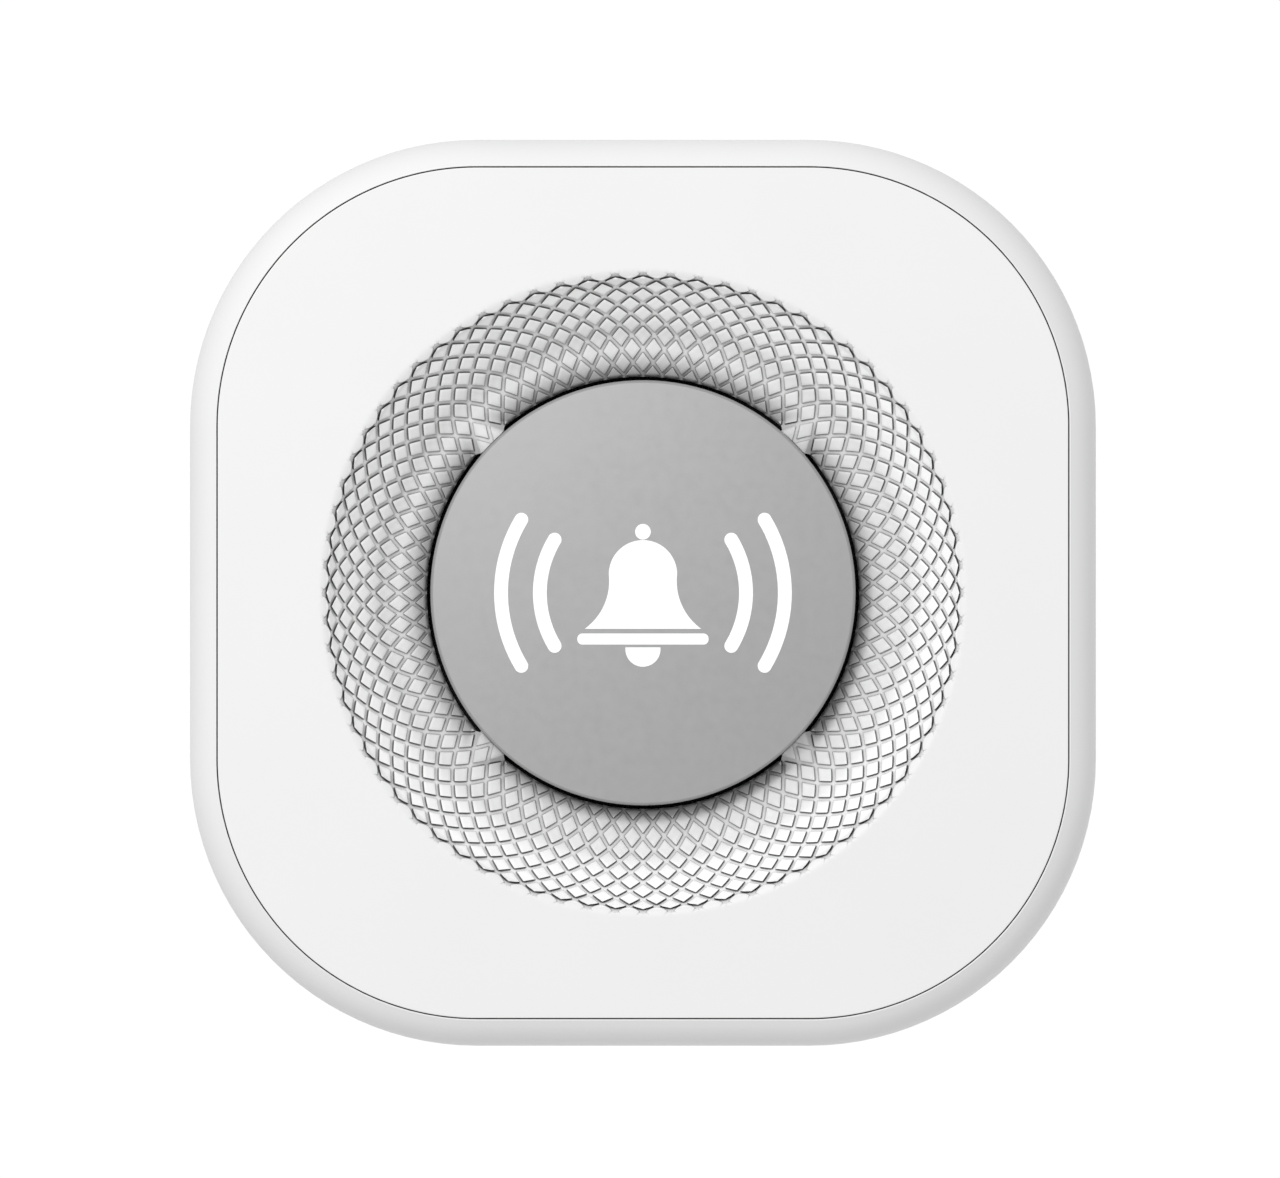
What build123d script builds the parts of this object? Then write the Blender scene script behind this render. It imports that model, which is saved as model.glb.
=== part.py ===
from build123d import *
import math
import os

# Wall-mounted alarm siren, battery powered.
#
# Everything is drawn lying on its back, as it would lie on a bench: x across the face, y up the
# face, z the height above the wall.  stand_up() then turns it so that +Z is up, the face looks
# along -Y and the wall plane is y = 0.  The origin is the centre of the wall plane.

# ---- driving dimensions, mm ----------------------------------------------------------------
WIDTH = 98.0               # outside width and height of the housing
DEPTH = 40.0               # wall to front face
CORNER_R = 31.0            # outside corner radius, seen from the front
RIM = 3.0                  # rim of the housing round the front cover, to the middle of the seam
SEAM = 0.12                # width of the seam between cover and housing
RIM_ROUND = 6.0            # the rim falls away from the seam along an arc of this radius
EDGE_ROUND = 0.10          # small rounding on both lips of the seam

BOWL_R = 34.55             # mouth of the concave sound bowl
DISC_R = 23.0              # fixed grey disc in the middle
DISC_GAP = 0.4             # sound slot round the disc
DISC_CROWN = 0.4           # the disc is this much higher in the middle than at its edge
FLOOR_ARC_R = 3.2          # the bowl's section: floor arc, wall arc, then a small round at the lip
WALL_ARC_R = 20.0
LIP_R = 0.5
THROAT_ARC_R = 4.2         # the floor rolls down into the slot
FLOOR_ARC_DEG = 38.0
WALL_ARC_DEG = 64.0
BOWL_WALL = 1.8
BRIDGE_W = 3.6             # the four bridges that carry the disc across the slot
BRIDGE_ANGLES = (45, 135, 225, 315)

CELL_R = 7.1               # AA cell
CELL_LENGTH = 50.5
CELL_PITCH = 14.7
CELL_COUNT = 4

TWIST_DEG = 15.0           # bayonet travel between locked and released

# ---- heights above the wall ----------------------------------------------------------------
BRACKET_TOP = 2.0
SKIRT_BACK = 0.8           # back edge of the housing's wall, clear of the room wall
PLATE_BACK = 4.6           # back plate of the housing
PLATE_FRONT = 6.8
CELL_AXIS = 12.2
TRAY_INNER_TOP = 19.6
TRAY_TOP = 20.8
BOARD_BACK = 22.2
BOARD_FRONT = 23.8
SOUNDER_FRONT = 28.0
THROAT_BACK = 28.4
ARM_BACK = 29.4
DISC_BACK = 31.4
DISC_FRONT = 35.6
FACE_BACK = DEPTH - 2.0


def arc_sin(degrees):
    return math.sin(math.radians(degrees))


def arc_cos(degrees):
    return math.cos(math.radians(degrees))


BOWL_DEPTH = (FLOOR_ARC_R * (1 - arc_cos(FLOOR_ARC_DEG))
              + WALL_ARC_R * (arc_cos(FLOOR_ARC_DEG) - arc_cos(WALL_ARC_DEG))
              + LIP_R * (1 - arc_cos(WALL_ARC_DEG)))
BOWL_RUN = (FLOOR_ARC_R * arc_sin(FLOOR_ARC_DEG)
            + WALL_ARC_R * (arc_sin(WALL_ARC_DEG) - arc_sin(FLOOR_ARC_DEG))
            + LIP_R * arc_sin(WALL_ARC_DEG))
FLOOR_Z = DEPTH - BOWL_DEPTH
FLAT_R = BOWL_R - BOWL_RUN           # the floor is flat out to here
THROAT_R = DISC_R + DISC_GAP
THROAT_ARC_DEG = math.degrees(math.asin((FLAT_R - THROAT_R) / THROAT_ARC_R))
THROAT_WALL = 1.6

# ---- shared positions ----------------------------------------------------------------------
INNER_HALF = WIDTH / 2 - RIM + SEAM / 2        # inside of the housing's wall
COVER_HALF = WIDTH / 2 - RIM - SEAM / 2        # edge of the front cover
BOSS_XY = 33.5                                 # housing screws, on the diagonals
BOSS_R = 4.2
COVER_BOSS_R = 3.6
BOSS_SPLIT = 16.4                              # cover boss stands on the housing boss here
HEAD_SEAT = 12.0                               # where the housing screws' heads bear
PLUNGER_XY = (25.0, 39.1)                      # tamper plunger, just outside the bracket
BUTTON_XY = (-25.0, 39.1)                      # pairing button, its mirror place
POST_R = 40.2                                  # board posts, clear of the turning hooks
POST_ANGLES = (22, 150, 202, 330)
SOUNDER_R = 22.5
BOARD_HOLE_R = 23.8
BRACKET_R = 43.6
HOOK_INNER_R = 35.8
HOOK_OUTER_R = 37.8
LIP_OUTER_R = 40.0
HOOK_HALF_DEG = 6.0
HOOK_ANGLES = (0, 90, 180, 270)
LIP_BACK = PLATE_FRONT + 0.4
LIP_FRONT = LIP_BACK + 1.4
BRACKET_RELIEF = 0.7
WALL_SCREW_SPACING = 52.0
WALL_SCREW_HOLE_R = 2.25
TRAY_HALF_X = 30.1
TRAY_HALF_Y = 28.6
TRAY_WALL = 1.5


# ---- helpers -------------------------------------------------------------------------------
def stand_up(shape):
    """Turn a shape from the bench frame into the part's own frame."""
    return Plane.XZ * shape


def rounded_block(half, corner, low, high):
    """A rounded square of the given half width, from height low to height high."""
    outline = RectangleRounded(2 * half, 2 * half, corner)
    return Pos(0, 0, low) * extrude(outline, high - low)


def disc(radius, low, high, x=0.0, y=0.0):
    """A round bar along z, from height low to height high."""
    return Pos(x, y, (low + high) / 2) * Cylinder(radius, high - low)


def ring(inner, outer, low, high, x=0.0, y=0.0):
    return disc(outer, low, high, x, y) - disc(inner, low - 1, high + 1, x, y)


def block(x_low, x_high, y_low, y_high, low, high):
    size = (x_high - x_low, y_high - y_low, high - low)
    centre = ((x_low + x_high) / 2, (y_low + y_high) / 2, (low + high) / 2)
    return Pos(*centre) * Box(*size)


def arc_slab(inner, outer, from_deg, to_deg, low, high):
    """Part of a ring, between two radii and two angles."""
    middle = math.radians((from_deg + to_deg) / 2)
    lines = [
        Line(polar(inner, from_deg), polar(outer, from_deg)),
        ThreePointArc(polar(outer, from_deg), polar(outer, math.degrees(middle)), polar(outer, to_deg)),
        Line(polar(outer, to_deg), polar(inner, to_deg)),
        ThreePointArc(polar(inner, to_deg), polar(inner, math.degrees(middle)), polar(inner, from_deg)),
    ]
    return Pos(0, 0, low) * extrude(make_face(lines), high - low)


def polar(radius, degrees):
    return (radius * arc_cos(degrees), radius * arc_sin(degrees))


def corners(offset):
    """The four corner places (x, y) of a square pattern."""
    return [(offset * sx, offset * sy) for sx in (-1, 1) for sy in (-1, 1)]


def together(shapes):
    """Several separate solids as one node."""
    return Compound(list(shapes))


# ---- outside -------------------------------------------------------------------------------
def bayonet_slot(angle):
    """Slot in the back plate: narrow where a hook is locked, wide where it comes out."""
    margin = 1.5
    locked = arc_slab(HOOK_INNER_R - 0.5, HOOK_OUTER_R + 0.5, angle - HOOK_HALF_DEG - margin,
                      angle + HOOK_HALF_DEG + margin, PLATE_BACK - 1, PLATE_FRONT + 1)
    free = arc_slab(HOOK_INNER_R - 0.5, LIP_OUTER_R + 0.5, angle - HOOK_HALF_DEG - margin - TWIST_DEG,
                    angle - HOOK_HALF_DEG - margin + 0.01, PLATE_BACK - 1, PLATE_FRONT + 1)
    return locked + free


def rear_housing():
    """Bucket with a rounded rim, a back plate, screw bosses, board posts and the switch guides."""
    seam_slope = math.asin(1 - RIM / RIM_ROUND)
    arc_top = DEPTH + RIM_ROUND * (1 - math.cos(seam_slope))
    shell = rounded_block(WIDTH / 2, CORNER_R, SKIRT_BACK, arc_top)
    front_edges = shell.faces().sort_by(Axis.Z)[-1].edges()
    shell = fillet(front_edges, RIM_ROUND)
    back_edges = shell.faces().sort_by(Axis.Z)[0].edges()
    shell = fillet(back_edges, 0.8)
    inner_corner = CORNER_R - RIM + SEAM / 2
    shell -= rounded_block(INNER_HALF, inner_corner, PLATE_FRONT, arc_top + 1)
    shell -= rounded_block(INNER_HALF, inner_corner, SKIRT_BACK - 1, PLATE_BACK)
    lip = [edge for edge in shell.edges() if edge.center().Z > DEPTH - 1]
    shell = fillet(lip, EDGE_ROUND)

    for x, y in corners(BOSS_XY):
        shell += disc(BOSS_R, PLATE_BACK, BOSS_SPLIT, x, y)
    for angle in POST_ANGLES:
        x, y = polar(POST_R, angle)
        shell += disc(2.6, PLATE_BACK, BOARD_BACK, x, y)
    shell += disc(5.0, PLATE_BACK, 14.0, *PLUNGER_XY)
    shell += disc(4.2, PLATE_BACK, 11.0, *BUTTON_XY)

    for x, y in corners(BOSS_XY):
        shell -= disc(1.7, PLATE_BACK, BOSS_SPLIT + 1, x, y)
        shell -= disc(3.0, PLATE_BACK - 1, HEAD_SEAT, x, y)
    for angle in POST_ANGLES:
        x, y = polar(POST_R, angle)
        shell -= disc(1.05, BOARD_BACK - 8, BOARD_BACK + 1, x, y)
    shell -= disc(2.15, PLATE_BACK - 1, 15.0, *PLUNGER_XY)
    shell -= disc(3.8, PLATE_FRONT, 15.0, *PLUNGER_XY)
    shell -= disc(3.15, PLATE_BACK - 1, 8.5, *BUTTON_XY)
    shell -= disc(1.65, 8.0, 12.0, *BUTTON_XY)
    shell -= block(-TRAY_HALF_X, TRAY_HALF_X, -TRAY_HALF_Y, TRAY_HALF_Y, PLATE_BACK - 1, PLATE_FRONT + 1)
    for angle in HOOK_ANGLES:
        shell -= bayonet_slot(angle)
    return shell


def bowl_section():
    """Half section of the bowl: the sound surface in front, a wall of even thickness behind."""
    floor_back = FLOOR_Z - BOWL_WALL
    arc_1 = JernArc((FLAT_R, FLOOR_Z), (1, 0), FLOOR_ARC_R, FLOOR_ARC_DEG)
    arc_2 = JernArc(arc_1 @ 1, arc_1 % 1, WALL_ARC_R, WALL_ARC_DEG - FLOOR_ARC_DEG)
    arc_3 = JernArc(arc_2 @ 1, arc_2 % 1, LIP_R, -WALL_ARC_DEG)
    back_1 = JernArc((FLAT_R, floor_back), (1, 0), FLOOR_ARC_R + BOWL_WALL, FLOOR_ARC_DEG)
    back_2 = JernArc(back_1 @ 1, back_1 % 1, WALL_ARC_R + BOWL_WALL, WALL_ARC_DEG - FLOOR_ARC_DEG - 5)
    flange_r = BOWL_R + 3.0
    roll = JernArc((FLAT_R, FLOOR_Z), (-1, 0), THROAT_ARC_R, THROAT_ARC_DEG)
    outline = [
        Line((THROAT_R, THROAT_BACK), roll @ 1),
        roll,
        arc_1,
        arc_2,
        arc_3,
        Line(arc_3 @ 1, (flange_r, DEPTH)),
        Line((flange_r, DEPTH), (flange_r, FACE_BACK)),
        Line((flange_r, FACE_BACK), back_2 @ 1),
        back_2,
        back_1,
        Line((FLAT_R, floor_back), (THROAT_R + THROAT_WALL, floor_back)),
        Line((THROAT_R + THROAT_WALL, floor_back), (THROAT_R + THROAT_WALL, THROAT_BACK)),
        Line((THROAT_R + THROAT_WALL, THROAT_BACK), (THROAT_R, THROAT_BACK)),
    ]
    return Plane.XZ * make_face(outline)


def disc_arms():
    """Four arms and a hub behind the disc, and the bridges that show in the slot."""
    hub = ring(2.2, 7.0, ARM_BACK, DISC_BACK)
    for angle in BRIDGE_ANGLES:
        arm = block(6.0, THROAT_R + 0.8, -BRIDGE_W / 2, BRIDGE_W / 2, ARM_BACK, DISC_BACK)
        bridge = block(DISC_R + 0.1, FLAT_R - 0.2, -BRIDGE_W / 2, BRIDGE_W / 2, ARM_BACK, FLOOR_Z)
        hub += Rot(0, 0, angle) * (arm + bridge)
    return hub


def front_cover():
    """Face plate with the concave bowl, the throat, the disc's arms, a skirt and screw bosses."""
    cover_corner = CORNER_R - RIM - SEAM / 2
    plate = rounded_block(COVER_HALF, cover_corner, FACE_BACK, DEPTH)
    plate = fillet(plate.faces().sort_by(Axis.Z)[-1].edges(), EDGE_ROUND)
    plate -= disc(BOWL_R + 2.0, FACE_BACK - 1, DEPTH + 1)
    cover = plate + revolve(bowl_section(), Axis.Z)
    skirt_outer = rounded_block(COVER_HALF - 0.2, cover_corner - 0.2, 33.0, FACE_BACK + 0.2)
    skirt_inner = rounded_block(COVER_HALF - 1.8, cover_corner - 1.8, 32.0, FACE_BACK + 1)
    cover += skirt_outer - skirt_inner
    for x, y in corners(BOSS_XY):
        cover += disc(COVER_BOSS_R, BOSS_SPLIT, FACE_BACK + 0.2, x, y)
    cover += disc_arms()
    for x, y in corners(BOSS_XY):
        cover -= disc(1.35, BOSS_SPLIT - 1, 34.0, x, y)
    return cover


def symbol_outline():
    """A plain alarm-bell pictogram with two sound waves on each side."""
    dome_r = 3.7
    dome_y = 2.0
    foot_x = 6.3
    foot_y = -3.9
    bell = make_face([
        ThreePointArc((-dome_r, dome_y), (0, dome_y + dome_r), (dome_r, dome_y)),
        ThreePointArc((dome_r, dome_y), (4.5, -1.9), (foot_x, foot_y)),
        Line((foot_x, foot_y), (-foot_x, foot_y)),
        ThreePointArc((-foot_x, foot_y), (-4.5, -1.9), (-dome_r, dome_y)),
    ])
    knob = Pos(0, 6.6) * Circle(0.85)
    base = Pos(0, -5.0) * RectangleRounded(14.2, 1.2, 0.55)
    clapper = Pos(0, -6.1) * Circle(1.9) - Pos(0, -4.3) * Rectangle(6, 3.2)
    sketch = [bell, knob, base, clapper]
    for wave_r in (10.4, 14.6):
        for side in (0, 180):
            sketch.append(wave_outline(wave_r, 1.5, side, 31))
    return sketch


def wave_outline(inner, width, centre_deg, half_deg):
    """A curved bar with round ends, part of a circle about the bell."""
    outer = inner + width
    a = centre_deg - half_deg
    b = centre_deg + half_deg
    bar = make_face([
        ThreePointArc(polar(outer, a), polar(outer, centre_deg), polar(outer, b)),
        Line(polar(outer, b), polar(inner, b)),
        ThreePointArc(polar(inner, b), polar(inner, centre_deg), polar(inner, a)),
        Line(polar(inner, a), polar(outer, a)),
    ])
    for end in (a, b):
        bar += Pos(*polar(inner + width / 2, end)) * Circle(width / 2)
    return bar


SYMBOL_DEPTH = 0.6
SYMBOL_PROUD = 0.05


def crown_ball(proud=0.0):
    """The large ball whose top is the disc's crowned front, or stands proud of it."""
    radius = (DISC_R ** 2 + DISC_CROWN ** 2) / (2 * DISC_CROWN)
    return Pos(0, 0, DISC_FRONT - radius) * Sphere(radius + proud)


def symbol_solids(low, high):
    return [Pos(0, 0, low) * extrude(shape, high - low) for shape in symbol_outline()]


def centre_disc():
    """Fixed disc with a shallow pocket for the printed symbol and four pegs into the arms."""
    body = disc(DISC_R, DISC_BACK, DISC_FRONT) & crown_ball()
    body = fillet(body.faces().sort_by(Axis.Z)[-1].edges(), 0.3)
    body += disc(2.1, ARM_BACK + 0.2, DISC_BACK + 0.1)
    for pocket in symbol_solids(DISC_FRONT - SYMBOL_DEPTH, DISC_FRONT + 1):
        body -= pocket
    return body


def disc_symbol():
    blanks = symbol_solids(DISC_FRONT - SYMBOL_DEPTH, DISC_FRONT + 1)
    front = crown_ball(SYMBOL_PROUD)
    return together((blank & front).solid() for blank in blanks)


# ---- wall bracket --------------------------------------------------------------------------
def wall_bracket():
    """Round plate with four bayonet hooks, four screw holes and stiffening ribs."""
    plate = disc(BRACKET_R, 0, BRACKET_TOP)
    plate = chamfer(plate.faces().sort_by(Axis.Z)[-1].edges(), 0.5)
    for angle in HOOK_ANGLES:
        low = angle - HOOK_HALF_DEG
        high = angle + HOOK_HALF_DEG
        plate += arc_slab(HOOK_INNER_R, HOOK_OUTER_R, low, high, BRACKET_TOP - 0.5, LIP_FRONT)
        plate += arc_slab(HOOK_OUTER_R - 0.5, LIP_OUTER_R, low, high, LIP_BACK, LIP_FRONT)
    plate += ring(17.5, 19.0, BRACKET_TOP - 0.5, BRACKET_TOP + 1.0)
    for x, y in corners(WALL_SCREW_SPACING / 2):
        plate += ring(WALL_SCREW_HOLE_R, 5.2, BRACKET_TOP - 0.5, BRACKET_TOP + 0.4, x, y)
        plate -= disc(WALL_SCREW_HOLE_R, -1, BRACKET_TOP + 1, x, y)
    return plate - bracket_relief()


def bracket_relief():
    """Shallow pocket in the bracket's wall side, with full-height pads at the screws and ribs."""
    relief = ring(13.0, 39.5, -1, BRACKET_RELIEF)
    for x, y in corners(WALL_SCREW_SPACING / 2):
        relief -= disc(6.0, -2, BRACKET_TOP, x, y)
    for angle in (0, 45, 90, 135):
        relief -= Rot(0, 0, angle) * block(-BRACKET_R, BRACKET_R, -0.8, 0.8, -2, BRACKET_TOP)
    return relief


# ---- sounder -------------------------------------------------------------------------------
def acoustic_mesh():
    return disc(SOUNDER_R + 1.5, SOUNDER_FRONT, THROAT_BACK)


def sounder_housing():
    """Cup that holds the piezo plate at its edge and leaves a chamber on each side."""
    cup = disc(SOUNDER_R, TRAY_TOP, SOUNDER_FRONT)
    cup -= disc(18.0, SOUNDER_FRONT - 4.4, SOUNDER_FRONT + 1)
    cup -= disc(16.0, TRAY_TOP + 1.2, SOUNDER_FRONT)
    return cup


def piezo_plate():
    return disc(17.8, SOUNDER_FRONT - 4.4, SOUNDER_FRONT - 4.15)


def piezo_ceramic():
    return disc(12.5, SOUNDER_FRONT - 4.15, SOUNDER_FRONT - 3.9)


def sounder_clamp():
    """Ring that presses the piezo plate on its ledge."""
    return ring(15.8, 17.95, SOUNDER_FRONT - 4.15, SOUNDER_FRONT - 0.2)


def sounder_terminals():
    """Two pins from the cup's rim to pads on the board."""
    pins = []
    for x in (-4.0, 4.0):
        foot = block(x - 0.6, x + 0.6, -25.4, -22.5, BOARD_FRONT, BOARD_FRONT + 0.4)
        pins.append(foot)
    return together(pins)


# ---- electronics ---------------------------------------------------------------------------
def circuit_board():
    """Board round the sounder, notched for the cover's bosses."""
    half = 44.4
    board = rounded_block(half, half - 18.0, BOARD_BACK, BOARD_FRONT)
    board -= disc(BOARD_HOLE_R, BOARD_BACK - 1, BOARD_FRONT + 1)
    for x, y in corners(BOSS_XY):
        board -= disc(COVER_BOSS_R + 0.8, BOARD_BACK - 1, BOARD_FRONT + 1, x, y)
    for angle in POST_ANGLES:
        board -= disc(1.3, BOARD_BACK - 1, BOARD_FRONT + 1, *polar(POST_R, angle))
    return board


def pan_screw(x, y, seat, head_r, head_h, shank_r, length, up=1):
    """A pan-head screw whose head bears at height seat; up says which way the shank points."""
    head_low, head_high = (seat - head_h, seat) if up > 0 else (seat, seat + head_h)
    head = disc(head_r, head_low, head_high, x, y)
    shank_low, shank_high = (seat - 0.5, seat + length) if up > 0 else (seat - length, seat + 0.5)
    screw = head + disc(shank_r, shank_low, shank_high, x, y)
    slot_low, slot_high = (head_low - 1, head_low + 0.8) if up > 0 else (head_high - 0.8, head_high + 1)
    screw -= block(x - head_r * 0.6, x + head_r * 0.6, y - 0.35, y + 0.35, slot_low, slot_high)
    screw -= block(x - 0.35, x + 0.35, y - head_r * 0.6, y + head_r * 0.6, slot_low, slot_high)
    return screw


def board_screws():
    return together(pan_screw(*polar(POST_R, angle), BOARD_FRONT, 2.0, 1.5, 1.0, 6.0, up=-1)
                    for angle in POST_ANGLES)


def housing_screws():
    return together(pan_screw(x, y, HEAD_SEAT, 2.7, 2.0, 1.3, 16.0) for x, y in corners(BOSS_XY))


def chip(x, y, size, height):
    """Square package with a row of leads on each side, standing on the board."""
    half = size / 2
    package = block(x - half, x + half, y - half, y + half, BOARD_FRONT, BOARD_FRONT + height)
    lead_pitch = 1.0
    lead_count = int(size / lead_pitch) - 1
    for i in range(lead_count):
        step = (i - (lead_count - 1) / 2) * lead_pitch
        package += block(x - half - 0.8, x + half + 0.8, y + step - 0.2, y + step + 0.2,
                         BOARD_FRONT, BOARD_FRONT + 0.4)
        package += block(x + step - 0.2, x + step + 0.2, y - half - 0.8, y + half + 0.8,
                         BOARD_FRONT, BOARD_FRONT + 0.4)
    return package


def radio_module():
    """Shielded radio: a small carrier board with a folded can on it."""
    carrier = block(-41.5, -27.5, -7.0, 9.0, BOARD_FRONT, BOARD_FRONT + 0.8)
    can = block(-40.5, -28.5, -3.0, 8.0, BOARD_FRONT + 0.8, BOARD_FRONT + 2.8)
    return carrier + fillet(can.faces().sort_by(Axis.Z)[-1].edges(), 0.4)


def antenna():
    """Bent strip antenna along the left edge of the board."""
    foot = block(-42.5, -41.6, -22.0, -20.5, BOARD_FRONT, BOARD_FRONT + 5.0)
    strip = block(-42.5, -42.0, -22.0, 16.0, BOARD_FRONT + 4.0, BOARD_FRONT + 5.0)
    return foot + strip


def boost_transformer():
    """Drum core that steps up the drive voltage for the piezo."""
    x, y = 34.0, -4.0
    flange_r = 4.5
    drum = disc(flange_r, BOARD_FRONT, BOARD_FRONT + 0.8, x, y)
    drum += disc(flange_r, BOARD_FRONT + 3.4, BOARD_FRONT + 4.2, x, y)
    return drum + disc(3.2, BOARD_FRONT, BOARD_FRONT + 4.2, x, y)


def capacitors():
    """Two reservoir capacitors lying in the corners behind the face plate."""
    cans = []
    for x in (-9.0, 9.0):
        can = disc(4.0, BOARD_FRONT, BOARD_FRONT + 7.2, x, -40.0)
        cans.append(fillet(can.faces().sort_by(Axis.Z)[-1].edges(), 0.5))
    return together(cans)


# ---- batteries -----------------------------------------------------------------------------
def cell_places():
    """x and the end that the positive nub points to (+1 is up), one for each cell."""
    middle = (CELL_COUNT - 1) / 2
    return [((i - middle) * CELL_PITCH, 1 if i % 2 == 0 else -1) for i in range(CELL_COUNT)]


NUB = 1.3                  # positive nub of an AA cell
SPRING_LENGTH = 3.6        # negative spring, pressed by the cell


def cell_solid(x, nub_side):
    body_length = CELL_LENGTH - NUB
    shift = -nub_side * (SPRING_LENGTH * -0.5 + NUB * 0.5 + 0.4)
    along_y = Rot(-90, 0, 0)
    body = along_y * Cylinder(CELL_R, body_length)
    body = fillet(body.edges(), 0.5)
    body += Pos(0, nub_side * (body_length / 2 + NUB / 2 - 0.1), 0) * along_y * Cylinder(2.7, NUB + 0.2)
    return Pos(x, shift, CELL_AXIS) * body


def cell_ends(x, nub_side):
    """y of the cell's positive tip and of its negative end."""
    box = cell_solid(x, nub_side).bounding_box()
    return (box.max.Y, box.min.Y) if nub_side > 0 else (box.min.Y, box.max.Y)


def battery_tray():
    """Box round the cells, open to the back, with low ribs between the cells."""
    outer_x = TRAY_HALF_X + TRAY_WALL
    outer_y = TRAY_HALF_Y + TRAY_WALL
    tray = block(-outer_x, outer_x, -outer_y, outer_y, PLATE_FRONT, TRAY_TOP)
    tray -= block(-TRAY_HALF_X, TRAY_HALF_X, -TRAY_HALF_Y, TRAY_HALF_Y, PLATE_FRONT - 1, TRAY_INNER_TOP)
    for x, y in corners(BOSS_XY):
        tray -= disc(BOSS_R + 0.3, PLATE_FRONT - 1, TRAY_TOP + 1, x, y)
    for i in range(CELL_COUNT - 1):
        x = (i - (CELL_COUNT - 2) / 2) * CELL_PITCH
        tray += block(x - 0.4, x + 0.4, -20.0, 20.0, TRAY_INNER_TOP - 2.2, TRAY_INNER_TOP + 0.2)
    return tray


def contacts_positive():
    """Flat spring plates that the nubs press on."""
    plates = []
    for x, nub_side in cell_places():
        wall = nub_side * TRAY_HALF_Y
        tip = cell_ends(x, nub_side)[0]
        low, high = sorted((wall, tip))
        plates.append(block(x - 4.0, x + 4.0, low, high, CELL_AXIS - 4.5, CELL_AXIS + 4.5))
    return together(plates)


def contacts_negative():
    """Conical springs, each with a base plate on the tray's wall."""
    springs = []
    for x, nub_side in cell_places():
        wall = -nub_side * TRAY_HALF_Y
        end = cell_ends(x, nub_side)[1]
        inward = nub_side
        plate_low, plate_high = sorted((wall, wall + inward * 0.4))
        plate = block(x - 4.5, x + 4.5, plate_low, plate_high, CELL_AXIS - 4.5, CELL_AXIS + 4.5)
        length = abs(end - wall) - 0.4
        cone = Rot(-90 * inward, 0, 0) * Cone(4.0, 2.2, length)
        springs.append(plate + Pos(x, wall + inward * (0.4 + length / 2), CELL_AXIS) * cone)
    return together(springs)


def battery_terminals():
    """Two blades that carry the supply from the tray to the board."""
    blades = []
    for x in (-12.0, 12.0):
        blades.append(block(x - 1.2, x + 1.2, TRAY_HALF_Y + TRAY_WALL, TRAY_HALF_Y + TRAY_WALL + 0.4,
                            16.0, BOARD_BACK))
    return together(blades)


# ---- switches ------------------------------------------------------------------------------
SWITCH_BACK = 18.7         # the tactile switches hang behind the board down to here
PLUNGER_TRAVEL = 1.5
PLUNGER_COLLAR_Z = PLATE_FRONT + PLUNGER_TRAVEL + 0.2
BUTTON_TRAVEL = 0.8
BUTTON_TIP = SWITCH_BACK - 1.0


def switch_body(x, y):
    body = block(x - 3.0, x + 3.0, y - 3.0, y + 3.0, SWITCH_BACK, BOARD_BACK)
    return body


def tamper_plunger():
    """Rod from the wall to the tamper switch, with a collar under its return spring."""
    x, y = PLUNGER_XY
    rod = disc(2.0, 0.0, PLUNGER_COLLAR_Z + 1.0, x, y)
    rod = fillet(rod.faces().sort_by(Axis.Z)[0].edges(), 0.6)
    collar = disc(3.5, PLUNGER_COLLAR_Z, PLUNGER_COLLAR_Z + 1.0, x, y)
    return rod + collar + disc(1.5, PLUNGER_COLLAR_Z + 0.5, SWITCH_BACK, x, y)


def tamper_spring():
    """Return spring between the plunger's collar and the switch."""
    rings = ring(1.9, 2.9, PLUNGER_COLLAR_Z + 1.0, SWITCH_BACK, *PLUNGER_XY)
    return rings


def pair_button():
    """Pairing button: a cap flush with the back plate and a stem to its switch."""
    x, y = BUTTON_XY
    cap = disc(3.0, PLATE_BACK, 7.4, x, y)
    cap = fillet(cap.faces().sort_by(Axis.Z)[0].edges(), 0.4)
    return cap + disc(1.5, 7.0, BUTTON_TIP, x, y)


# ---- write every node ----------------------------------------------------------------------
NODES = {
    "wall_bracket": wall_bracket(),
    "rear_housing": rear_housing(),
    "front_cover": front_cover(),
    "centre_disc": centre_disc(),
    "disc_symbol": disc_symbol(),
    "acoustic_mesh": acoustic_mesh(),
    "sounder_housing": sounder_housing(),
    "sounder_clamp": sounder_clamp(),
    "piezo_plate": piezo_plate(),
    "piezo_ceramic": piezo_ceramic(),
    "sounder_terminals": sounder_terminals(),
    "circuit_board": circuit_board(),
    "board_screws": board_screws(),
    "housing_screws": housing_screws(),
    "microcontroller": chip(34.0, 10.5 - 2.0, 7.0, 1.2),
    "audio_driver": chip(0.0, 34.0, 5.0, 1.2),
    "radio_module": radio_module(),
    "antenna": antenna(),
    "boost_transformer": boost_transformer(),
    "capacitors": capacitors(),
    "battery_tray": battery_tray(),
    "contacts_positive": contacts_positive(),
    "contacts_negative": contacts_negative(),
    "battery_terminals": battery_terminals(),
    "tamper_switch": switch_body(*PLUNGER_XY),
    "tamper_plunger": tamper_plunger(),
    "tamper_spring": tamper_spring(),
    "pair_switch": switch_body(*BUTTON_XY),
    "pair_button": pair_button(),
}
for number, (cell_x, cell_side) in enumerate(cell_places(), start=1):
    NODES[f"battery_{number}"] = cell_solid(cell_x, cell_side)

os.makedirs("parts", exist_ok=True)
for name, shape in NODES.items():
    export_step(stand_up(shape), f"parts/{name}.step")
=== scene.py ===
"""Looks of the wall alarm siren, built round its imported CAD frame.

Blender works in metres.  Sizes here are written in millimetres and multiplied by MM.  A height is
a distance out from the wall, or from the face plane where the text says so.
"""
import math

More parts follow.
